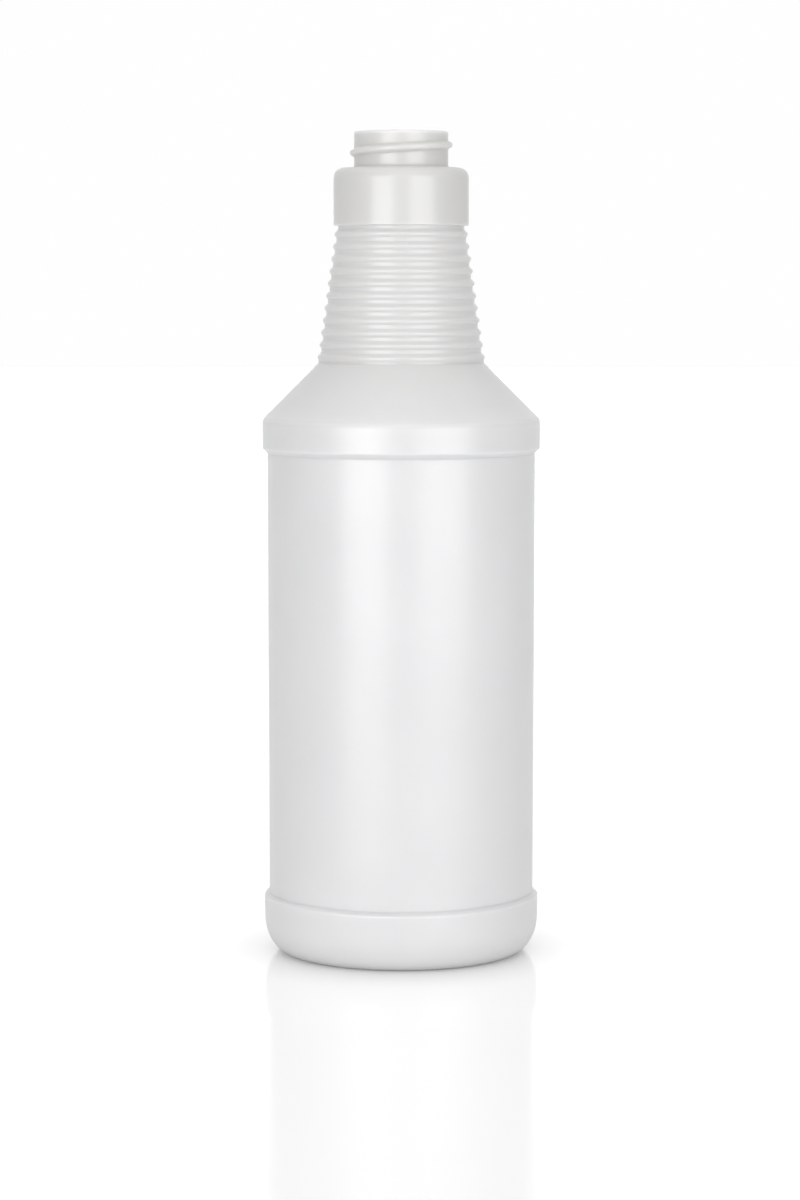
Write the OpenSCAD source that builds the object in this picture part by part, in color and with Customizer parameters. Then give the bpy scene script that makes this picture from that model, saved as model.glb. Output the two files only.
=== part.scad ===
// Blow-moulded carafe bottle with a ribbed neck, a threaded 28 mm finish and no cap.
// The bottle stands on z = 0 with its axis on Z. Front is -Y, and the mould parts on the XZ plane.
// Every section below is stacked on the one before it, from the standing ring up to the lip.

/* [Base] */
// Diameter of the band round the foot
base_d = 73.9; // [60:0.1:90]
// Height of the straight part of that band
base_band_h = 5.45; // [2:0.05:15]
// Height of the rounded heel below the band
heel_h = 9.9; // [5:0.1:16]
// How far the heel turns in, from the band to the standing ring
heel_in = 6.5; // [3:0.1:10]
// Width of the flat ring that the bottle stands on
stand_ring_w = 1.6; // [0.8:0.1:4]
// Depth of the push-up in the middle of the base
push_up_h = 4.2; // [1:0.1:8]
// Length of the welded seam that the mould pinches across the base
weld_l = 42; // [10:1:50]
// Width of that weld
weld_w = 1.1; // [0.6:0.1:3]
// How far the weld stands proud of the push-up
weld_proud = 0.5; // [0.2:0.05:0.9]

/* [Label panel] */
// Diameter of the label panel at its top
panel_top_d = 71.75; // [55:0.05:88]
// Diameter of the label panel at its foot
panel_foot_d = 71.3; // [55:0.05:88]
// Height of the label panel between its two steps
panel_h = 118.5; // [60:0.5:180]
// Height of the step from the panel to the foot band
foot_step_h = 1.05; // [0.8:0.05:3]
// Height of the step from the panel to the shoulder band
shoulder_step_h = 1.3; // [0.8:0.05:3]

/* [Shoulder] */
// Diameter of the shoulder band, the widest part of the bottle
band_d = 74.4; // [60:0.1:90]
// Height of the shoulder band
band_h = 7.65; // [4:0.05:20]
// Radius of the edge between the shoulder band and the cone
band_edge_r = 2.2; // [0.5:0.1:3]
// Slope of the shoulder cone from the horizontal
cone_angle = 45; // [30:1:60]

/* [Ribbed neck] */
// Number of rings round the neck
rings = 11; // [3:1:14]
// Distance from one ring to the next
ring_pitch = 3.27; // [2.9:0.01:5]
// Height of a ring's crest
ring_crest_h = 0.6; // [0.3:0.05:0.9]
// How far a ring's crest stands out from the groove above it
ring_proud = 0.91; // [0.5:0.01:1.1]
// Growth of the neck's radius from one ring to the next
ring_growth = 0.455; // [0.1:0.005:0.8]
// Diameter of the neck in the groove under the collar
neck_top_d = 33.6; // [30:0.1:35]
// Height of the neck from the collar's ledge to the middle of the first ring
neck_lead_h = 2.3; // [2:0.05:6]
// Height of the neck from the middle of the last ring to the cone
neck_run_h = 1.55; // [1.3:0.05:5]

/* [Collar] */
// Diameter of the smooth collar below the thread
collar_d = 36; // [35.5:0.1:45]
// Height of the collar
collar_h = 15.3; // [8:0.1:30]
// Radius of the collar's upper edge
collar_edge_r = 2.6; // [0.5:0.1:4]

/* [Finish] */
// Diameter of the finish between the thread's turns
finish_d = 25; // [24:0.05:26]
// Height of the finish above the collar
finish_h = 9.6; // [8:0.1:16]
// Diameter of the bore
bore_d = 21.2; // [16:0.1:22]
// Radius of the lip's outer edge
lip_edge_r = 0.9; // [0.2:0.1:1.2]
// Chamfer of the lip's inner edge
lip_chamfer = 0.3; // [0.1:0.1:0.6]
// Diameter over the thread
thread_d = 27.3; // [26.2:0.05:28]
// Rise of the thread in one turn, six turns to the inch
thread_pitch = 4.233; // [3:0.001:5]
// Length of the thread in degrees round the finish
thread_sweep = 400; // [200:10:460]
// Distance from the lip down to the thread's middle at the front
thread_drop = 4.6; // [4:0.05:5]
// Width of the thread where it leaves the finish
thread_root_w = 2.3; // [1.6:0.05:3]
// Width of the thread's crest
thread_crest_w = 0.9; // [0.4:0.05:1.4]

/* [Walls] */
// Wall of the collar
collar_wall = 2; // [1:0.05:3]
// Wall of the ribbed neck, measured in its grooves
neck_wall = 1.3; // [0.8:0.05:2]
// Wall of the shoulder and of the label panel
body_wall = 0.95; // [0.6:0.05:2]
// Wall of the base
base_wall = 1.4; // [0.8:0.05:3]

/* [Hidden] */
$fn = 180;

// Largest turn of the outline between two neighbouring points of an arc
arc_step = 7.5;
// Heights of the stacked sections
z_foot_band = heel_h + base_band_h;
z_panel = z_foot_band + foot_step_h;
z_panel_top = z_panel + panel_h;
z_band = z_panel_top + shoulder_step_h;
z_cone = z_band + band_h;
// The neck grows by one step for each ring, and a short land leads from its last ring into the cone
neck_top_r = neck_top_d / 2;
land_inset = 0.16;
land_r = neck_top_r + (rings - 1) * ring_growth + ring_proud - land_inset;
z_neck = z_cone + (band_d / 2 - land_r) * tan(cone_angle);
z_last_ring = z_neck + neck_run_h;
z_first_ring = z_last_ring + (rings - 1) * ring_pitch;
z_collar = z_first_ring + neck_lead_h;
z_finish = z_collar + collar_h;
z_lip = z_finish + finish_h;
// Standing ring and the push-up inside it
ring_r = base_d / 2 - heel_in;
push_up_r = ring_r - stand_ring_w;
// Roundings that the mould leaves on its smaller edges
step_edge_r = 0.4;
crest_edge_r = 0.45;
groove_edge_r = 0.35;
finish_root_r = 0.5;
ledge_edge_r = 0.3;
// Heights of a ring's upper and lower flanks
upper_flank_h = ring_proud * 1.04;
lower_flank_h = 0.62;
// Inside, each ring is only a soft wave
inner_wave = 0.3;
inner_edge_r = 0.9;
// How far the cone's inner corners lie below its outer ones, for each millimetre of wall
corner_drop = tan((90 - cone_angle) / 2);
// Length of the thread's run-outs in degrees, one section of it, and how deep its root sits
thread_fade = 38;
thread_step = 8;
thread_sunk = 0.5;
// How deep the weld is rooted in the base, and what a cut reaches past an open end
weld_root = 0.4;
past = 1;

function reversed(list) = [for (i = [len(list) - 1 : -1 : 0]) list[i]];

// Points of the arc of radius f that rounds corner b between its neighbours a and c
function rounded_corner(a, b, c, f) =
    let (
        la = norm(a - b),
        lc = norm(c - b),
        ua = (a - b) / la,
        uc = (c - b) / lc,
        turn = acos(max(-1, min(1, -(ua * uc)))),
        tangent = min(f * tan(turn / 2), 0.48 * la, 0.48 * lc),
        r = tangent / tan(turn / 2),
        middle = b + (ua + uc) / norm(ua + uc) * (r / cos(turn / 2)),
        from = b + ua * tangent - middle,
        side = sign(ua[0] * uc[1] - ua[1] * uc[0]),
        steps = max(2, ceil(turn / arc_step))
    )
    [for (i = [0 : steps])
        let (t = -side * turn * i / steps)
        middle + [from[0] * cos(t) - from[1] * sin(t), from[0] * sin(t) + from[1] * cos(t)]];

// Outline through a list of corners, each given as [radius, height, rounding]
function outline(corners) =
    let (last = len(corners) - 1, p = [for (c = corners) [c[0], c[1]]])
    [for (i = [0 : last])
        each (i == 0 || i == last || corners[i][2] == 0
            ? [p[i]]
            : rounded_corner(p[i - 1], p[i], p[i + 1], corners[i][2]))];

// Quarter of an ellipse from [r, z] on the standing ring, out and up to the foot band
function heel(r, z, out, up) =
    [for (t = [0 : 6 : 90]) [r + out * sin(t), z + up * (1 - cos(t)), 0]];

// Shallow arc of the push-up, from its middle out to its edge at height z
function push_up(z) =
    let (
        dome_r = (pow(push_up_r, 2) + pow(push_up_h, 2)) / (2 * push_up_h),
        half = asin(push_up_r / dome_r),
        parts = 8
    )
    [for (i = [0 : parts])
        let (t = half * i / parts)
        [dome_r * sin(t), z + push_up_h - dome_r * (1 - cos(t)), 0]];

// Radius of the groove above ring i, where the rings count up from the shoulder
function groove_r(i) = neck_top_r + (rings - 1 - i) * ring_growth;

// Corners of ring i, from the groove below it to the groove above it
function ring(i) =
    let (
        z_low = z_last_ring + i * ring_pitch - ring_crest_h / 2,
        z_high = z_low + ring_crest_h,
        crest_r = groove_r(i) + ring_proud
    )
    [
        [i == 0 ? land_r : groove_r(i - 1), z_low - lower_flank_h, groove_edge_r],
        [crest_r, z_low, crest_edge_r],
        [crest_r, z_high, crest_edge_r],
        [groove_r(i), z_high + upper_flank_h, groove_edge_r]
    ];

// Inside of ring i, up to the groove above it
function inner_ring(i) =
    let (z = z_last_ring + i * ring_pitch, r = groove_r(i) - neck_wall)
    [
        [r + ring_growth / 2 + inner_wave, z, inner_edge_r],
        [r, z + ring_pitch / 2, inner_edge_r]
    ];

// Outside of the bottle as one turned form, from the push-up over the heel and up to the lip
module outer_form() {
    rotate_extrude()
        polygon(outline([
            each push_up(0),
            each heel(ring_r, 0, heel_in, heel_h),
            [base_d / 2, z_foot_band, step_edge_r],
            [panel_foot_d / 2, z_panel, step_edge_r],
            [panel_top_d / 2, z_panel_top, step_edge_r],
            [band_d / 2, z_band, step_edge_r],
            [band_d / 2, z_cone, band_edge_r],
            [land_r, z_neck, groove_edge_r],
            each [for (i = [0 : rings - 1]) each ring(i)],
            [neck_top_r, z_collar, ledge_edge_r],
            [collar_d / 2, z_collar, ledge_edge_r],
            [collar_d / 2, z_finish, collar_edge_r],
            [finish_d / 2, z_finish, finish_root_r],
            [finish_d / 2, z_lip, lip_edge_r],
            [0, z_lip, 0]
        ]));
}

// Space inside, which follows the outside at the wall of each section
module cavity() {
    inner_foot_r = base_d / 2 - body_wall;
    inner_band_r = band_d / 2 - body_wall;
    inner_collar_r = collar_d / 2 - collar_wall;
    z_ceiling = z_finish - collar_wall;
    rotate_extrude()
        polygon(outline([
            each push_up(base_wall),
            each heel(ring_r, base_wall, inner_foot_r - ring_r, heel_h - base_wall),
            [inner_foot_r, z_foot_band, inner_edge_r],
            [panel_foot_d / 2 - body_wall, z_panel, inner_edge_r],
            [panel_top_d / 2 - body_wall, z_panel_top, inner_edge_r],
            [inner_band_r, z_band, inner_edge_r],
            [inner_band_r, z_cone - body_wall * corner_drop, band_edge_r],
            [land_r - neck_wall, z_neck - neck_wall * corner_drop, inner_edge_r],
            each [for (i = [0 : rings - 1]) each inner_ring(i)],
            [inner_collar_r, z_collar + collar_wall / 2, inner_edge_r],
            [inner_collar_r, z_ceiling, collar_edge_r],
            [bore_d / 2, z_ceiling, finish_root_r],
            [bore_d / 2, z_lip - lip_chamfer, 0],
            [bore_d / 2 + lip_chamfer, z_lip, 0],
            [bore_d / 2 + lip_chamfer, z_lip + past, 0],
            [0, z_lip + past, 0]
        ]));
}

// Right-hand thread, one ridge that rises round the finish and sinks into it at both ends
module thread() {
    root_r = finish_d / 2;
    height = thread_d / 2 - root_r;
    flank = (thread_root_w - thread_crest_w) / 2 / height;
    inner_half_w = thread_root_w / 2 + thread_sunk * flank;
    sections = ceil(thread_sweep / thread_step);
    points = [for (i = [0 : sections])
        let (
            a = thread_sweep * (i / sections - 0.5),
            rise = min(1, (thread_sweep / 2 - abs(a)) / thread_fade),
            crest_r = root_r + (height + thread_sunk / 2) * sin(90 * rise) - thread_sunk / 2,
            z = z_lip - thread_drop + thread_pitch * a / 360
        )
        each [for (p = [
            [root_r - thread_sunk, -inner_half_w],
            [crest_r, -thread_crest_w / 2],
            [crest_r, thread_crest_w / 2],
            [root_r - thread_sunk, inner_half_w]
        ]) [p[0] * sin(a), -p[0] * cos(a), z + p[1]]]];
    sides = [for (i = [0 : sections - 1], k = [0 : 3])
        let (n = 4 * i, m = (k + 1) % 4)
        each [[n + k, n + 4 + k, n + 4 + m], [n + k, n + 4 + m, n + m]]];
    last = 4 * sections;
    ends = [[0, 1, 2], [0, 2, 3], [last, last + 2, last + 1], [last, last + 3, last + 2]];
    polyhedron(points, [each sides, each ends]);
}

// Seam across the push-up, where the mould welds and pinches off the tube
module weld() {
    intersection() {
        translate([-weld_l / 2, -weld_w / 2, -past])
            cube([weld_l, weld_w, push_up_h + past + weld_root]);
        rotate_extrude()
            polygon(outline([each push_up(-weld_proud), each reversed(push_up(weld_root))]));
    }
}

module bottle() {
    color("WhiteSmoke")
        union() {
            difference() {
                outer_form();
                cavity();
            }
            thread();
            weld();
        }
}

bottle();
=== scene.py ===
"""Looks of a blow-moulded polyethylene carafe bottle: its shell, plastic, floor, lights and camera.

Sizes are in millimetres and are turned into metres when a mesh is made. The bottle stands on z = 0
with its axis on Z, its front faces -Y, and the mould parts on the XZ plane.
"""

import logging
import math
from dataclasses import dataclass, field
from enum import Enum

import bpy
import numpy as np
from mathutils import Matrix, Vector, noise


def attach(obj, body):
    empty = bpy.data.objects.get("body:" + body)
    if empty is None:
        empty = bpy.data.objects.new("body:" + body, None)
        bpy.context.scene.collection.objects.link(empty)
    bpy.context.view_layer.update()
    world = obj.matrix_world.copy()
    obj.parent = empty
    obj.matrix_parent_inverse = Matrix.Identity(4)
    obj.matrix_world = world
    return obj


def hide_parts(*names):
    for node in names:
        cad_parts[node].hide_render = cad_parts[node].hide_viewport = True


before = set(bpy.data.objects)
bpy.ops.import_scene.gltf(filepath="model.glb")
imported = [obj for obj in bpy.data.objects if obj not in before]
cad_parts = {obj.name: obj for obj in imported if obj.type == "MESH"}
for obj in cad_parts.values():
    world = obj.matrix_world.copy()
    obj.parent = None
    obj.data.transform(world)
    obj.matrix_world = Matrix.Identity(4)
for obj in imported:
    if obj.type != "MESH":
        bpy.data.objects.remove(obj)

MM = 0.001
ROOT_BODY = "root"
CAD_NODE = "bottle"
SMALLEST_TURN = math.radians(0.5)
LARGEST_SHARE = 0.48
SHORTEST_RUN = 1e-6

log = logging.getLogger("carafe_bottle")

Point = tuple[float, float]
Corner = tuple[float, float, float]
Place = tuple[float, float, float]


class Side(Enum):
    """The side of the wall that a point of the outline lies on."""

    OUTSIDE = 0
    INSIDE = 1


def rounded_corner(before: Point, corner: Corner, after: Point, arc_step: float) -> list[Point]:
    """Round one corner of an outline with an arc.

    Args:
        before: The corner before this one, as radius and height.
        corner: Radius, height and rounding of this corner.
        after: The corner after this one.
        arc_step: Largest turn between two points of the arc, in degrees.

    Returns:
        The points of the arc, or the corner itself where it has no rounding.
    """
    place = np.array(corner[:2])
    to_before = np.array(before) - place
    to_after = np.array(after) - place
    length_before = float(np.linalg.norm(to_before))
    length_after = float(np.linalg.norm(to_after))
    to_before /= length_before
    to_after /= length_after
    turn = math.acos(max(-1.0, min(1.0, -float(to_before @ to_after))))
    if corner[2] <= 0 or turn < SMALLEST_TURN:
        return [(float(place[0]), float(place[1]))]
    room = LARGEST_SHARE * min(length_before, length_after)
    tangent = min(corner[2] * math.tan(turn / 2), room)
    radius = tangent / math.tan(turn / 2)
    inward = (to_before + to_after) / np.linalg.norm(to_before + to_after)
    middle = place + inward * radius / math.cos(turn / 2)
    start = place + to_before * tangent - middle
    side = math.copysign(1.0, to_before[0] * to_after[1] - to_before[1] * to_after[0])
    steps = max(2, math.ceil(math.degrees(turn) / arc_step))
    points = []
    for index in range(steps + 1):
        angle = -side * turn * index / steps
        points.append((
            float(middle[0] + start[0] * math.cos(angle) - start[1] * math.sin(angle)),
            float(middle[1] + start[0] * math.sin(angle) + start[1] * math.cos(angle)),
        ))
    return points


def rounded_outline(corners: list[Corner], arc_step: float = 15.0) -> list[Point]:
    """Turn a list of corners into an outline with rounded corners.

    Args:
        corners: Radius, height and rounding of each corner.
        arc_step: Largest turn between two points of an arc, in degrees.

    Returns:
        The points of the outline in the order of the corners.
    """
    points = [corners[0][:2]]
    for before, corner, after in zip(corners, corners[1:], corners[2:]):
        points.extend(rounded_corner(before[:2], corner, after[:2], arc_step))
    points.append(corners[-1][:2])
    return points


def even_rows(points: list[Point], longest: float, support: float = 0.3) -> list[Point]:
    """Add rows along the straight runs of an outline, with one close to each end to hold its edge.

    Args:
        points: The outline.
        longest: Longest step between two rows.
        support: Distance of the holding rows from the ends of a run.

    Returns:
        The outline with its added rows.
    """
    rows = [points[0]]
    for start, end in zip(points, points[1:]):
        run = math.dist(start, end)
        if run < SHORTEST_RUN:
            continue
        stops = [1.0]
        if run > 3 * support:
            inner = run - 2 * support
            parts = max(1, math.ceil(inner / longest))
            stops = [(support + inner * part / parts) / run for part in range(parts + 1)] + [1.0]
        rows.extend((start[0] + (end[0] - start[0]) * t, start[1] + (end[1] - start[1]) * t) for t in stops)
    return rows


@dataclass
class Foot:
    """Heel, standing ring, push-up and foot band."""

    band_diameter: float = 73.9
    band_height: float = 5.45
    heel_height: float = 9.9
    heel_depth: float = 6.5
    ring_width: float = 1.6
    push_up_height: float = 4.2
    ring_edge: float = 0.5
    band_edge: float = 0.5
    inner_band_edge: float = 0.9
    wall: float = 1.4
    push_up_steps: int = 12
    heel_steps: int = 20

    @property
    def ring_radius(self) -> float:
        """Outer radius of the standing ring."""
        return self.band_diameter / 2 - self.heel_depth

    @property
    def top(self) -> float:
        """Height where the foot band ends and the step to the panel starts."""
        return self.heel_height + self.band_height

    @property
    def push_up_edge(self) -> float:
        """Radius where the push-up meets the standing ring."""
        return self.ring_radius - self.ring_width

    @property
    def push_up_sphere(self) -> float:
        """Radius of the sphere that the push-up is part of."""
        return (self.push_up_edge ** 2 + self.push_up_height ** 2) / (2 * self.push_up_height)

    def push_up_at(self, radius: float) -> float:
        """Return the height of the push-up's underside at a radius."""
        return self.push_up_height - self.push_up_sphere + math.sqrt(self.push_up_sphere ** 2 - radius ** 2)

    def push_up(self, height: float) -> list[Corner]:
        """Return the arc of the push-up, from the middle to its edge at the given height."""
        sphere = self.push_up_sphere
        half = math.asin(self.push_up_edge / sphere)
        corners = []
        for index in range(self.push_up_steps + 1):
            angle = half * index / self.push_up_steps
            rounding = self.ring_edge if index == self.push_up_steps else 0.0
            drop = sphere * (1 - math.cos(angle))
            corners.append((sphere * math.sin(angle), height + self.push_up_height - drop, rounding))
        return corners

    def heel(self, height: float, out: float, up: float) -> list[Corner]:
        """Return the quarter of an ellipse from the standing ring out and up to the band.

        Args:
            height: Height of the ring.
            out: Half-width of the ellipse.
            up: Half-height of the ellipse.

        Returns:
            Corners without rounding along the heel.
        """
        angles = [math.pi / 2 * index / self.heel_steps for index in range(self.heel_steps + 1)]
        return [(self.ring_radius + out * math.sin(a), height + up * (1 - math.cos(a)), 0.0) for a in angles]

    def outside(self) -> list[Corner]:
        """Return the outer corners from the middle of the base up to the foot band's top."""
        heel = self.heel(0.0, self.heel_depth, self.heel_height)
        return self.push_up(0.0) + heel + [(self.band_diameter / 2, self.top, self.band_edge)]

    def inside(self, body_wall: float) -> list[Corner]:
        """Return the inner corners from the middle of the base up to the foot band's top."""
        band = self.band_diameter / 2 - body_wall
        heel = self.heel(self.wall, band - self.ring_radius, self.heel_height - self.wall)
        return self.push_up(self.wall) + heel + [(band, self.top, self.inner_band_edge)]


@dataclass(frozen=True)
class BaseWeld:
    """The seam that the mould pinches across the push-up, with rounded sides and ends."""

    length: float = 42.0
    width: float = 1.1
    proud: float = 0.5
    root: float = 0.4
    end_rounding: float = 1.2
    steps: int = 70
    round_steps: int = 8

    def sections(self, foot: Foot) -> list[list[Place]]:
        """Return the cross-sections from left to right, each as places in millimetres."""
        sections = []
        for step in range(self.steps + 1):
            along = self.length * (step / self.steps - 0.5)
            inset = min(1.0, (self.length / 2 - abs(along)) / self.end_rounding)
            depth = self.proud * math.sqrt(inset * (2 - inset))
            height = foot.push_up_at(along)
            places = []
            for part in range(self.round_steps + 1):
                angle = math.pi * part / self.round_steps
                places.append((along, self.width / 2 * math.cos(angle), height - depth * math.sin(angle)))
            places.append((along, -self.width / 2, height + self.root))
            places.append((along, self.width / 2, height + self.root))
            sections.append(places)
        return sections

    def faces(self, first: int, around: int) -> list[tuple[int, ...]]:
        """Return the faces between the sections and over both ends.

        Args:
            first: Index of the first section's first vertex.
            around: Vertices in one section.

        Returns:
            The vertex indices of each face.
        """
        faces: list[tuple[int, ...]] = []
        for step in range(self.steps):
            low = first + step * around
            for index in range(around):
                after = (index + 1) % around
                faces.append((low + index, low + around + index, low + around + after, low + after))
        last = first + self.steps * around
        faces.append(tuple(range(first, first + around)))
        faces.append(tuple(range(last + around - 1, last - 1, -1)))
        return faces


@dataclass
class LabelPanel:
    """The smooth panel between the two bands, with a step at each end."""

    top_diameter: float = 71.75
    foot_diameter: float = 71.3
    height: float = 118.5
    foot_step: float = 1.05
    shoulder_step: float = 1.3
    edge: float = 0.45
    inner_edge: float = 0.9
    wall: float = 0.95

    def corners(self, start: float, side: Side) -> list[Corner]:
        """Return the panel's corners above the foot band that ends at the given height."""
        wall = self.wall if side is Side.INSIDE else 0.0
        edge = self.inner_edge if side is Side.INSIDE else self.edge
        low = start + self.foot_step
        return [
            (self.foot_diameter / 2 - wall, low, edge),
            (self.top_diameter / 2 - wall, low + self.height, edge),
        ]

    @property
    def rise(self) -> float:
        """Height from the foot band's top to the shoulder band's foot."""
        return self.foot_step + self.height + self.shoulder_step


@dataclass
class Shoulder:
    """The band at the shoulder and the cone above it."""

    band_diameter: float = 74.4
    band_height: float = 7.65
    band_edge: float = 2.2
    step_edge: float = 0.5
    inner_step_edge: float = 0.9
    slope: float = 45.0
    wall: float = 0.95

    def cone_rise(self, neck_radius: float) -> float:
        """Return the cone's height between the band and a neck of the given radius."""
        return (self.band_diameter / 2 - neck_radius) * math.tan(math.radians(self.slope))

    def corner_drop(self, wall: float) -> float:
        """Return how far the inner end of the cone lies below its outer end."""
        return wall * math.tan(math.radians(90 - self.slope) / 2)

    def outside(self, start: float) -> list[Corner]:
        """Return the outer corners of the band that starts at the given height."""
        radius = self.band_diameter / 2
        return [(radius, start, self.step_edge), (radius, start + self.band_height, self.band_edge)]

    def inside(self, start: float) -> list[Corner]:
        """Return the inner corners of the band that starts at the given height."""
        radius = self.band_diameter / 2 - self.wall
        top = start + self.band_height - self.corner_drop(self.wall)
        return [(radius, start, self.inner_step_edge), (radius, top, self.band_edge)]


@dataclass
class RibbedNeck:
    """The tapered neck with its rings."""

    rings: int = 11
    pitch: float = 3.27
    crest_height: float = 0.6
    proud: float = 0.91
    growth: float = 0.455
    top_diameter: float = 33.6
    lead: float = 2.3
    run: float = 1.55
    land_inset: float = 0.16
    crest_edge: float = 0.45
    groove_edge: float = 0.35
    lower_flank: float = 0.62
    upper_flank_share: float = 1.04
    inner_wave: float = 0.3
    inner_rounding: float = 1.4
    inner_corner: float = 0.9
    wall: float = 1.3

    @property
    def land_radius(self) -> float:
        """Radius of the short land between the last ring and the cone."""
        return self.top_diameter / 2 + (self.rings - 1) * self.growth + self.proud - self.land_inset

    @property
    def rise(self) -> float:
        """Height of the neck from the cone to the collar."""
        return self.run + (self.rings - 1) * self.pitch + self.lead

    def groove(self, ring: int) -> float:
        """Return the radius of the groove above a ring, counted up from the shoulder."""
        return self.top_diameter / 2 + (self.rings - 1 - ring) * self.growth

    def outside(self, start: float) -> list[Corner]:
        """Return the outer corners from the cone's end, at the given height, up to the collar."""
        corners = [(self.land_radius, start, self.groove_edge)]
        for ring in range(self.rings):
            low = start + self.run + ring * self.pitch - self.crest_height / 2
            high = low + self.crest_height
            below = self.land_radius if ring == 0 else self.groove(ring - 1)
            crest = self.groove(ring) + self.proud
            corners += [
                (below, low - self.lower_flank, self.groove_edge),
                (crest, low, self.crest_edge),
                (crest, high, self.crest_edge),
                (self.groove(ring), high + self.proud * self.upper_flank_share, self.groove_edge),
            ]
        return corners

    def inside(self, start: float, drop: float) -> list[Corner]:
        """Return the inner corners, a soft wave under each ring."""
        corners = [(self.land_radius - self.wall, start - drop, self.inner_corner)]
        for ring in range(self.rings):
            height = start + self.run + ring * self.pitch
            radius = self.groove(ring) - self.wall
            corners.append((radius + self.growth / 2 + self.inner_wave, height, self.inner_rounding))
            corners.append((radius, height + self.pitch / 2, self.inner_rounding))
        return corners


@dataclass
class Collar:
    """The smooth collar under the thread."""

    diameter: float = 36.0
    height: float = 15.3
    top_edge: float = 2.6
    ledge_edge: float = 0.25
    inner_ledge_edge: float = 1.2
    wall: float = 2.0

    def outside(self, start: float, neck_radius: float) -> list[Corner]:
        """Return the outer corners from the ledge up to the collar's top edge."""
        radius = self.diameter / 2
        return [
            (neck_radius, start, self.ledge_edge),
            (radius, start, self.ledge_edge),
            (radius, start + self.height, self.top_edge),
        ]

    def inside(self, start: float) -> list[Corner]:
        """Return the inner corners from the ledge up to the ceiling."""
        radius = self.diameter / 2 - self.wall
        ceiling = start + self.height - self.wall
        return [(radius, start + self.wall / 2, self.inner_ledge_edge), (radius, ceiling, self.top_edge)]


@dataclass
class Finish:
    """The threaded finish with its lip and bore."""

    diameter: float = 25.0
    height: float = 9.6
    bore: float = 21.2
    root_edge: float = 0.6
    lip_edge: float = 0.9
    inner_lip_edge: float = 0.35
    thread_diameter: float = 27.3
    thread_pitch: float = 4.233
    thread_sweep: float = 400.0
    thread_fade: float = 38.0
    thread_drop: float = 4.6
    thread_root: float = 2.3
    thread_crest: float = 0.9
    thread_blend: float = 0.28
    lip_land: float = 0.5
    row_height: float = 0.2

    def corners(self, start: float, ceiling: float) -> tuple[list[Corner], list[Corner]]:
        """Return the corners outside up to the lip, and inside from the ceiling up to the lip."""
        top = start + self.height
        outside = [
            (self.diameter / 2, start, self.root_edge),
            (self.diameter / 2, top, self.lip_edge),
        ]
        inside = [
            (self.bore / 2, ceiling, self.root_edge),
            (self.bore / 2, top, self.inner_lip_edge),
        ]
        return outside, inside

    def is_outer_face(self, radius: float) -> bool:
        """Tell whether a radius lies outside the inner half of the lip."""
        return radius > self.bore / 2 + self.lip_land

    def thread_height(self, angle: float, below_lip: float) -> float:
        """Return how far the thread stands out at one place of the finish.

        Args:
            angle: Direction seen from above in degrees, 0 at the front and positive to the right.
            below_lip: Distance below the lip.

        Returns:
            Height of the thread over the finish.
        """
        full = (self.thread_diameter - self.diameter) / 2
        best = 0.0
        for turn in (-1, 0, 1):
            along = angle + 360 * turn
            if abs(along) > self.thread_sweep / 2:
                continue
            rise = min(1.0, (self.thread_sweep / 2 - abs(along)) / self.thread_fade)
            rise = rise * rise * (3 - 2 * rise)
            away = abs(below_lip - self.thread_drop + self.thread_pitch * along / 360)
            flank = (self.thread_root - self.thread_crest) / 2
            share = (self.thread_root / 2 - away) / flank
            best = max(best, full * rise * smooth_clamp(share, self.thread_blend))
        return best


def smooth_clamp(value: float, blend: float) -> float:
    """Return the value clamped to 0..1 with its two corners rounded over the given blend."""
    if value <= -blend or value >= 1 + blend:
        return 0.0 if value <= -blend else 1.0
    if value < blend:
        return (value + blend) ** 2 / (4 * blend)
    if value > 1 - blend:
        return 1 - (1 + blend - value) ** 2 / (4 * blend)
    return value


@dataclass(frozen=True)
class Moulding:
    """The small unevenness that blow moulding leaves on the shell."""

    seam_height: float = 0.05
    seam_width: float = 0.35
    outer_swell: float = 0.035
    outer_swell_size: float = 34.0
    inner_swell: float = 0.12
    inner_swell_size: float = 17.0
    inner_swell_start: tuple[float, float, float] = (7.0, 3.0, 1.0)
    narrowest_swell: float = 14.0
    seam_foot: float = 1.0

    def seam(self, arc: float) -> float:
        """Return the height of the parting line at a distance from it round the bottle."""
        return self.seam_height * math.exp(-((arc / self.seam_width) ** 2) * 2)

    def swell(self, place: Vector, side: Side) -> float:
        """Return the slow in and out of the wall's outer or inner face."""
        if side is Side.INSIDE:
            start = Vector(self.inner_swell_start)
            return self.inner_swell * noise.noise(place / self.inner_swell_size + start)
        return self.outer_swell * noise.noise(place / self.outer_swell_size)


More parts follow.
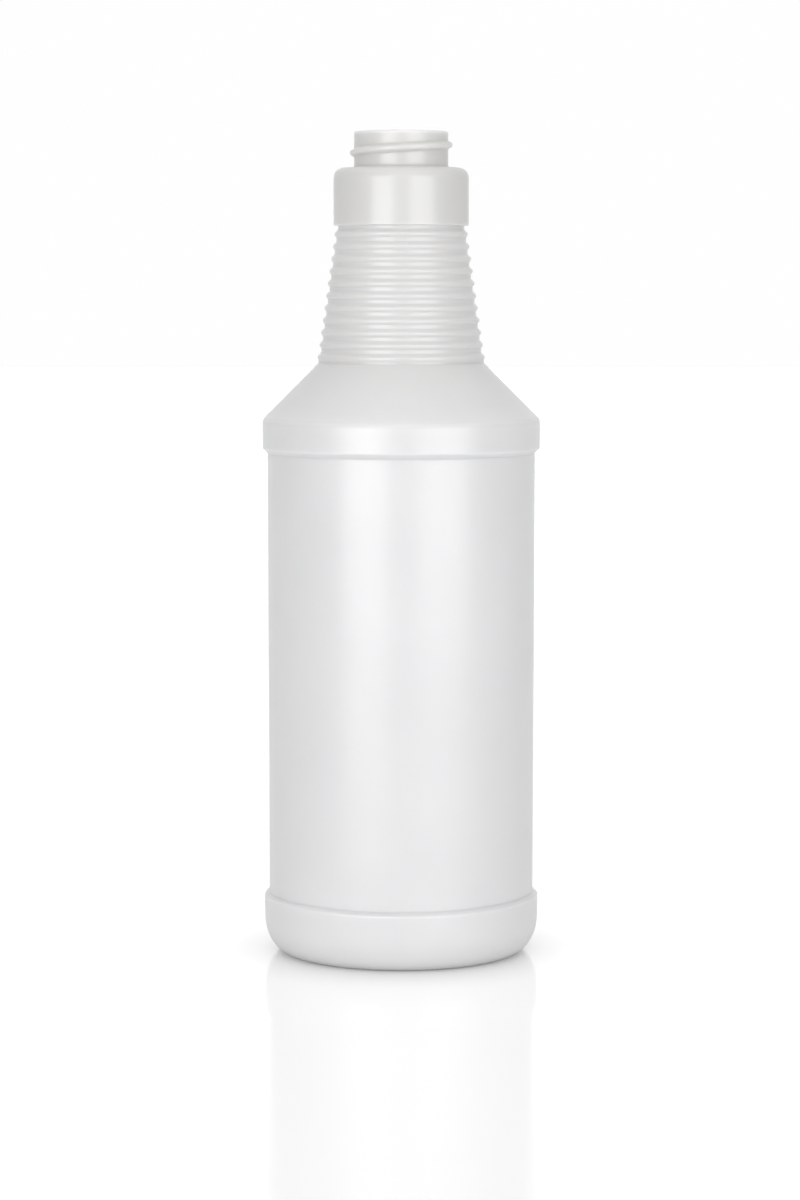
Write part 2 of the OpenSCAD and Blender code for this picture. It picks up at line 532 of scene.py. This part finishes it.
@dataclass(frozen=True)
class NaturalPolyethylene:
    """Uncoloured polyethylene: milky, smooth, with a soft sheen."""

    name: str = "natural_polyethylene"
    colour: tuple[float, float, float] = (0.880, 0.880, 0.882)
    # Darker than the body colour: partly thick polyethylene's own greyer tone, partly painted shade for the
    # dimmer light on the neck, collar and finish.
    thick_and_shaded_colour: tuple[float, float, float] = (0.745, 0.742, 0.732)
    cloud: float = 0.012
    cloud_size: float = 26.0
    roughness: float = 0.31
    thick_roughness: float = 0.295
    roughness_spread: float = 0.014
    noise_low: float = 0.3
    noise_high: float = 0.7
    grain_size: float = 0.35
    grain_strength: float = 0.12
    grain_depth: float = 0.01
    ripple_size: float = 9.0
    ripple_strength: float = 0.25
    ripple_depth: float = 0.05
    refraction: float = 1.54
    gloss: float = 1.0
    clear: float = 0.0
    scatter_weight: float = 1.0
    scatter_radius: tuple[float, float, float] = (1.0, 0.98, 0.94)
    scatter_mm: float = 1.6

    def material(self) -> bpy.types.Material:
        """Build the plastic's node material.

        Returns:
            The material, which reads the shell's wall attribute for its tint and painted shade.
        """
        material = bpy.data.materials.new(self.name)
        material.use_nodes = True
        tree = material.node_tree
        shader = tree.nodes["Principled BSDF"]
        shader.inputs["IOR"].default_value = self.refraction
        shader.inputs["Specular IOR Level"].default_value = self.gloss
        shader.inputs["Transmission Weight"].default_value = self.clear
        shader.inputs["Subsurface Weight"].default_value = self.scatter_weight
        shader.inputs["Subsurface Radius"].default_value = self.scatter_radius
        shader.inputs["Subsurface Scale"].default_value = self.scatter_mm * MM
        place = tree.nodes.new("ShaderNodeTexCoord").outputs["Object"]
        self._tint(tree, shader, place)
        self._sheen(tree, shader, place)
        self._grain(tree, shader, place)
        return material

    def _noise(self, tree: bpy.types.NodeTree, place: bpy.types.NodeSocket, size: float,
               detail: float) -> bpy.types.NodeSocket:
        """Add a noise of the given feature size in millimetres and return its value."""
        node = tree.nodes.new("ShaderNodeTexNoise")
        node.inputs["Scale"].default_value = 1 / (size * MM)
        node.inputs["Detail"].default_value = detail
        tree.links.new(place, node.inputs["Vector"])
        return node.outputs["Fac"]

    def _tint(self, tree: bpy.types.NodeTree, shader: bpy.types.Node,
              place: bpy.types.NodeSocket) -> None:
        """Colour the plastic darker and a little warmer where the wall is thick, partly the thick plastic's
        own tone and partly painted shade on the neck and collar, with faint clouds.
        """
        wall = tree.nodes.new("ShaderNodeAttribute")
        wall.attribute_name = "wall"
        # Painted shade, partly real tone: the thicker the wall, the more the colour darkens towards the
        # thick colour.
        blend = tree.nodes.new("ShaderNodeMix")
        blend.data_type = "RGBA"
        blend.inputs["A"].default_value = (*self.colour, 1)
        blend.inputs["B"].default_value = (*self.thick_and_shaded_colour, 1)
        tree.links.new(wall.outputs["Fac"], blend.inputs["Factor"])
        cloud = tree.nodes.new("ShaderNodeMapRange")
        cloud.inputs["From Min"].default_value = self.noise_low
        cloud.inputs["From Max"].default_value = self.noise_high
        cloud.inputs["To Min"].default_value = 1 - self.cloud
        cloud.inputs["To Max"].default_value = 1 + self.cloud
        tree.links.new(self._noise(tree, place, self.cloud_size, 3.0), cloud.inputs["Value"])
        shade = tree.nodes.new("ShaderNodeVectorMath")
        shade.operation = "SCALE"
        tree.links.new(blend.outputs["Result"], shade.inputs[0])
        tree.links.new(cloud.outputs["Result"], shade.inputs["Scale"])
        tree.links.new(shade.outputs["Vector"], shader.inputs["Base Color"])

    def _sheen(self, tree: bpy.types.NodeTree, shader: bpy.types.Node,
               place: bpy.types.NodeSocket) -> None:
        """Make the thick parts smoother than the body, and vary the roughness a little."""
        wall = tree.nodes.new("ShaderNodeAttribute")
        wall.attribute_name = "wall"
        smooth = tree.nodes.new("ShaderNodeMapRange")
        smooth.inputs["To Min"].default_value = self.roughness
        smooth.inputs["To Max"].default_value = self.thick_roughness
        tree.links.new(wall.outputs["Fac"], smooth.inputs["Value"])
        spread = tree.nodes.new("ShaderNodeMapRange")
        spread.inputs["From Min"].default_value = self.noise_low
        spread.inputs["From Max"].default_value = self.noise_high
        spread.inputs["To Min"].default_value = -self.roughness_spread
        spread.inputs["To Max"].default_value = self.roughness_spread
        tree.links.new(self._noise(tree, place, self.ripple_size, 4.0), spread.inputs["Value"])
        total = tree.nodes.new("ShaderNodeMath")
        tree.links.new(smooth.outputs["Result"], total.inputs[0])
        tree.links.new(spread.outputs["Result"], total.inputs[1])
        tree.links.new(total.outputs["Value"], shader.inputs["Roughness"])

    def _grain(self, tree: bpy.types.NodeTree, shader: bpy.types.Node,
               place: bpy.types.NodeSocket) -> None:
        """Add the blasted mould's fine grain and a slower ripple as bump."""
        ripple = tree.nodes.new("ShaderNodeBump")
        ripple.inputs["Strength"].default_value = self.ripple_strength
        ripple.inputs["Distance"].default_value = self.ripple_depth * MM
        tree.links.new(self._noise(tree, place, self.ripple_size, 2.0), ripple.inputs["Height"])
        grain = tree.nodes.new("ShaderNodeBump")
        grain.inputs["Strength"].default_value = self.grain_strength
        grain.inputs["Distance"].default_value = self.grain_depth * MM
        tree.links.new(self._noise(tree, place, self.grain_size, 2.0), grain.inputs["Height"])
        tree.links.new(ripple.outputs["Normal"], grain.inputs["Normal"])
        tree.links.new(grain.outputs["Normal"], shader.inputs["Normal"])


@dataclass
class Bottle:
    """The whole bottle, one blown shell with an outer and an inner face."""

    foot: Foot = field(default_factory=Foot)
    weld: BaseWeld = field(default_factory=BaseWeld)
    panel: LabelPanel = field(default_factory=LabelPanel)
    shoulder: Shoulder = field(default_factory=Shoulder)
    neck: RibbedNeck = field(default_factory=RibbedNeck)
    collar: Collar = field(default_factory=Collar)
    finish: Finish = field(default_factory=Finish)
    moulding: Moulding = field(default_factory=Moulding)
    plastic: NaturalPolyethylene = field(default_factory=NaturalPolyethylene)
    columns: int = 136
    outer_arc_step: float = 15.0
    inner_arc_step: float = 30.0
    neck_row_height: float = 2.5
    body_row_height: float = 6.0
    neck_margin: float = 1.0
    finish_margin: float = 0.3
    bore_margin: float = 0.1
    seam_columns: tuple[float, ...] = (-0.75, -0.4, 0.4, 0.75)
    thickest_wall: float = 1.4

    def levels(self) -> dict[str, float]:
        """Return the heights where the sections meet."""
        band = self.foot.top + self.panel.rise
        cone = band + self.shoulder.band_height
        neck = cone + self.shoulder.cone_rise(self.neck.land_radius)
        collar = neck + self.neck.rise
        finish = collar + self.collar.height
        return {"band": band, "cone": cone, "neck": neck, "collar": collar, "finish": finish,
                "lip": finish + self.finish.height}

    def outline(self) -> list[tuple[float, float, Side]]:
        """Return the wall's outline, from the middle of the base outside, over the lip and back inside."""
        at = self.levels()
        ceiling = at["finish"] - self.collar.wall
        finish_outside, finish_inside = self.finish.corners(at["finish"], ceiling)
        outside = (
            self.foot.outside()
            + self.panel.corners(self.foot.top, Side.OUTSIDE)
            + self.shoulder.outside(at["band"])
            + self.neck.outside(at["neck"])
            + self.collar.outside(at["collar"], self.neck.top_diameter / 2)
            + finish_outside
        )
        inside = (
            self.foot.inside(self.shoulder.wall)
            + self.panel.corners(self.foot.top, Side.INSIDE)
            + self.shoulder.inside(at["band"])
            + self.neck.inside(at["neck"], self.shoulder.corner_drop(self.neck.wall))
            + self.collar.inside(at["collar"])
            + finish_inside
        )
        middle_of_lip = ((self.finish.diameter + self.finish.bore) / 4, at["lip"], 0.0)
        rows = []
        for side, corners in ((Side.OUTSIDE, outside), (Side.INSIDE, inside)):
            arc_step = self.outer_arc_step if side is Side.OUTSIDE else self.inner_arc_step
            points = rounded_outline(corners + [middle_of_lip], arc_step)
            rows.append([(radius, height, side) for radius, height in self._rows(points, at)])
        return rows[0][:-1] + rows[1][::-1]

    def _rows(self, points: list[Point], at: dict[str, float]) -> list[Point]:
        """Add rows to an outline, close together where the thread runs and far apart on the panel."""
        rows = [points[0]]
        for start, end in zip(points, points[1:]):
            on_finish = start[1] > at["finish"] + self.finish_margin
            if on_finish and start[0] > self.finish.bore / 2 + self.bore_margin:
                longest = self.finish.row_height
            else:
                on_neck = start[1] > at["neck"] - self.neck_margin
                longest = self.neck_row_height if on_neck else self.body_row_height
            rows.extend(even_rows([start, end], longest)[1:])
        return rows

    def column_angles(self) -> list[float]:
        """Return the columns' directions in degrees from the front, closer together at the parting line."""
        even = [-180 + 360 * index / self.columns for index in range(self.columns)]
        extra = [(side + step + 180) % 360 - 180 for side in (-90, 90) for step in self.seam_columns]
        return sorted(even + extra)

    def build(self) -> bpy.types.Object:
        """Make the shell's mesh, dress it and let it stand for the CAD bottle.

        Returns:
            The shell's object.
        """
        rows = self.outline()
        lip = self.levels()["lip"]
        angles = self.column_angles()
        count = len(angles)
        vertices: list[Place] = []
        walls: list[float] = []
        thickness = self._wall_of_rows(rows)
        for (radius, height, side), wall in zip(rows[1:-1], thickness[1:-1]):
            for angle in angles:
                vertices.append(self._place(radius, height, side, angle, lip))
                walls.append(wall)
        bottom = len(vertices)
        vertices += [(0.0, 0.0, rows[0][1] * MM), (0.0, 0.0, rows[-1][1] * MM)]
        walls += [thickness[0], thickness[-1]]
        faces: list[tuple[int, ...]] = []
        rings = len(rows) - 2
        for ring in range(rings - 1):
            for column in range(count):
                after = (column + 1) % count
                faces.append((ring * count + column, ring * count + after,
                              (ring + 1) * count + after, (ring + 1) * count + column))
        last = (rings - 1) * count
        for column in range(count):
            after = (column + 1) % count
            faces.append((bottom, after, column))
            faces.append((bottom + 1, last + column, last + after))
        first = len(vertices)
        sections = self.weld.sections(self.foot)
        for section in sections:
            vertices += [tuple(value * MM for value in place) for place in section]
            # The weld takes the thickest wall's colour, painted shade included.
            walls += [1.0] * len(section)
        faces += self.weld.faces(first, len(sections[0]))
        mesh = bpy.data.meshes.new("bottle_shell")
        mesh.from_pydata(vertices, [], faces)
        mesh.validate()
        mesh.shade_smooth()
        attribute = mesh.attributes.new("wall", "FLOAT", "POINT")
        attribute.data.foreach_set("value", np.array(walls, np.float32))
        mesh.materials.append(self.plastic.material())
        shell = bpy.data.objects.new("bottle_shell", mesh)
        bpy.context.scene.collection.objects.link(shell)
        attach(shell, ROOT_BODY)
        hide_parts(CAD_NODE)
        return shell

    def _wall_of_rows(self, rows: list[tuple[float, float, Side]]) -> list[float]:
        """Return each row's distance to the other face of the wall, as a share of the thickest wall."""
        outlines = {side: np.array([row[:2] for row in rows if row[2] is side]) for side in Side}
        shares = []
        for radius, height, side in rows:
            other = outlines[Side.INSIDE if side is Side.OUTSIDE else Side.OUTSIDE]
            nearest = float(np.hypot(other[:, 0] - radius, other[:, 1] - height).min())
            share = (nearest - self.panel.wall) / (self.thickest_wall - self.panel.wall)
            shares.append(max(0.0, min(1.0, share)))
        return shares

    def _place(self, radius: float, height: float, side: Side, angle: float, lip: float) -> Place:
        """Return the place of one vertex in metres, with thread, parting line and unevenness."""
        turn = math.radians(angle)
        flat = Vector((radius * math.sin(turn), -radius * math.cos(turn), height))
        grown = radius
        if radius > self.moulding.narrowest_swell:
            grown += self.moulding.swell(flat, side)
        if side is Side.OUTSIDE and height > self.moulding.seam_foot:
            if self.finish.is_outer_face(radius) and height > lip - self.finish.height:
                grown += self.finish.thread_height(angle, lip - height)
            arc = math.radians(90 - abs(angle)) * radius
            grown += self.moulding.seam(arc)
        return (grown * math.sin(turn) * MM, -grown * math.cos(turn) * MM, height * MM)


@dataclass(frozen=True)
class Softbox:
    """One upright soft light that stands on the floor and faces the bottle."""

    name: str
    azimuth: float
    width: float
    height: float
    radiance: float
    distance: float = 1.5

    def build(self) -> None:
        """Place the lamp, with 0 degrees towards the camera and positive angles to the right."""
        lamp = bpy.data.lights.new(self.name, "AREA")
        lamp.shape = "RECTANGLE"
        lamp.size = self.width
        lamp.size_y = self.height
        lamp.energy = self.radiance * math.pi * self.width * self.height
        box = bpy.data.objects.new(self.name, lamp)
        bpy.context.scene.collection.objects.link(box)
        turn = math.radians(self.azimuth)
        box.location = (self.distance * math.sin(turn), -self.distance * math.cos(turn), self.height / 2)
        aim = Vector((-math.sin(turn), math.cos(turn), 0))
        box.rotation_mode = "QUATERNION"
        box.rotation_quaternion = aim.to_track_quat("-Z", "Y")


@dataclass(frozen=True)
class Studio:
    """Pale floor that glows, with painted shade near the bottle, two softboxes, and surroundings that are
    dim at the sides and bright at the rear.
    """

    floor_size: float = 12.0
    floor_colour: float = 0.80
    floor_roughness: float = 0.12
    # The floor's glow lights the bottle from below in place of a lit floor; it fades to nothing close to the
    # bottle as painted shade.
    floor_glow: float = 0.17
    floor_lift: float = 0.125
    painted_shade_from: float = 23.0
    painted_shade_to: float = 58.0
    front: float = 1.05
    back: float = 0.74
    horizon: float = 0.42
    horizon_power: float = 8.0
    sides: float = 0.30
    overhead: float = 0.92
    seen_white: float = 0.992
    softboxes: tuple[Softbox, ...] = (
        Softbox("softbox_left", -31.0, 1.02, 0.30, 3.85),
        Softbox("softbox_right", 36.0, 1.15, 0.30, 3.0),
    )

    def build(self) -> None:
        """Make the floor, the surrounding and the softboxes."""
        self._surround()
        self._floor()
        for softbox in self.softboxes:
            softbox.build()

    def _surround(self) -> None:
        """Light the scene by direction, and show plain white to the camera."""
        world = bpy.data.worlds.new("studio_surround")
        bpy.context.scene.world = world
        world.use_nodes = True
        tree = world.node_tree
        light = tree.nodes["Background"]
        light.inputs["Color"].default_value = (1, 1, 1, 1)
        direction = tree.nodes.new("ShaderNodeTexCoord")
        split = tree.nodes.new("ShaderNodeSeparateXYZ")
        tree.links.new(direction.outputs["Generated"], split.inputs["Vector"])
        forward = self._math(tree, "MULTIPLY", split.outputs["Y"], -1.0)
        total = self._share(tree, self._math(tree, "MAXIMUM", forward, 0.0), self.front, 0.0)
        rear = self._math(tree, "MAXIMUM", split.outputs["Y"], 0.0)
        total = self._share(tree, rear, self.back, total)
        narrow = self._math(tree, "POWER", rear, self.horizon_power)
        total = self._share(tree, narrow, self.horizon, total)
        total = self._share(tree, split.outputs["X"], self.sides, total)
        total = self._share(tree, split.outputs["Z"], self.overhead, total)
        tree.links.new(total, light.inputs["Strength"])
        seen = tree.nodes.new("ShaderNodeBackground")
        seen.inputs["Color"].default_value = (self.seen_white,) * 3 + (1,)
        ray = tree.nodes.new("ShaderNodeLightPath")
        choose = tree.nodes.new("ShaderNodeMixShader")
        tree.links.new(ray.outputs["Is Camera Ray"], choose.inputs["Fac"])
        tree.links.new(light.outputs["Background"], choose.inputs[1])
        tree.links.new(seen.outputs["Background"], choose.inputs[2])
        tree.links.new(choose.outputs["Shader"], tree.nodes["World Output"].inputs["Surface"])

    def _math(self, tree: bpy.types.NodeTree, operation: str,
              *values: bpy.types.NodeSocket | float) -> bpy.types.NodeSocket:
        """Add a math node on sockets or plain numbers and return its value."""
        node = tree.nodes.new("ShaderNodeMath")
        node.operation = operation
        for socket, value in zip(node.inputs, values):
            if isinstance(value, float):
                socket.default_value = value
            else:
                tree.links.new(value, socket)
        return node.outputs["Value"]

    def _share(self, tree: bpy.types.NodeTree, component: bpy.types.NodeSocket, strength: float,
               rest: bpy.types.NodeSocket | float) -> bpy.types.NodeSocket:
        """Add the square of a direction's component, times a strength, to the rest of the light."""
        square = self._math(tree, "MULTIPLY", component, component)
        return self._math(tree, "MULTIPLY_ADD", square, strength, rest)

    def _floor(self) -> None:
        """Make the pale floor, which glows to light the bottle from below, with the glow faded close to the
        bottle as painted shade, and with its shadow and faint reflection.
        """
        half = self.floor_size / 2
        mesh = bpy.data.meshes.new("studio_floor")
        corners = [(-half, -half, 0), (half, -half, 0), (half, half, 0), (-half, half, 0)]
        mesh.from_pydata(corners, [], [(0, 1, 2, 3)])
        floor = bpy.data.objects.new("studio_floor", mesh)
        bpy.context.scene.collection.objects.link(floor)
        material = bpy.data.materials.new("pale_floor")
        material.use_nodes = True
        tree = material.node_tree
        shader = tree.nodes["Principled BSDF"]
        shader.inputs["Base Color"].default_value = (self.floor_colour,) * 3 + (1,)
        shader.inputs["Roughness"].default_value = self.floor_roughness
        shader.inputs["Emission Color"].default_value = (1, 1, 1, 1)
        place = tree.nodes.new("ShaderNodeTexCoord")
        reach = tree.nodes.new("ShaderNodeVectorMath")
        reach.operation = "LENGTH"
        tree.links.new(place.outputs["Object"], reach.inputs[0])
        # Painted shade: the floor's glow fades to nothing close to the bottle's axis.
        shade = tree.nodes.new("ShaderNodeMapRange")
        shade.interpolation_type = "SMOOTHSTEP"
        shade.inputs["From Min"].default_value = self.painted_shade_from * MM
        shade.inputs["From Max"].default_value = self.painted_shade_to * MM
        shade.inputs["To Min"].default_value = 0.0
        shade.inputs["To Max"].default_value = self.floor_glow
        tree.links.new(reach.outputs["Value"], shade.inputs["Value"])
        ray = tree.nodes.new("ShaderNodeLightPath")
        is_seen = ray.outputs["Is Camera Ray"]
        glow = self._math(tree, "MULTIPLY_ADD", is_seen, self.floor_lift, shade.outputs["Result"])
        tree.links.new(glow, shader.inputs["Emission Strength"])
        mesh.materials.append(material)


@dataclass(frozen=True)
class View:
    """The photograph's viewpoint: a long lens at the height of the ribbed neck, tilted down a little."""

    lens: float = 102.85
    distance: float = 920.4
    height: float = 181.9
    aside: float = -0.32
    tilt: float = 5.386

    def build(self) -> None:
        """Make the camera and give it to the scene."""
        lens = bpy.data.cameras.new("photo_view")
        lens.lens = self.lens
        camera = bpy.data.objects.new("photo_view", lens)
        bpy.context.scene.collection.objects.link(camera)
        camera.location = (self.aside * MM, -self.distance * MM, self.height * MM)
        camera.rotation_euler = (math.radians(90 - self.tilt), 0, 0)
        bpy.context.scene.camera = camera


def main() -> None:
    """Build the bottle, the studio and the camera."""
    logging.basicConfig(level=logging.INFO, format="%(name)s: %(message)s")
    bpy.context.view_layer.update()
    bpy.context.scene.view_settings.view_transform = "Standard"
    shell = Bottle().build()
    log.info("%s has %d faces", shell.name, len(shell.data.polygons))
    Studio().build()
    View().build()


if __name__ == "__main__":
    main()
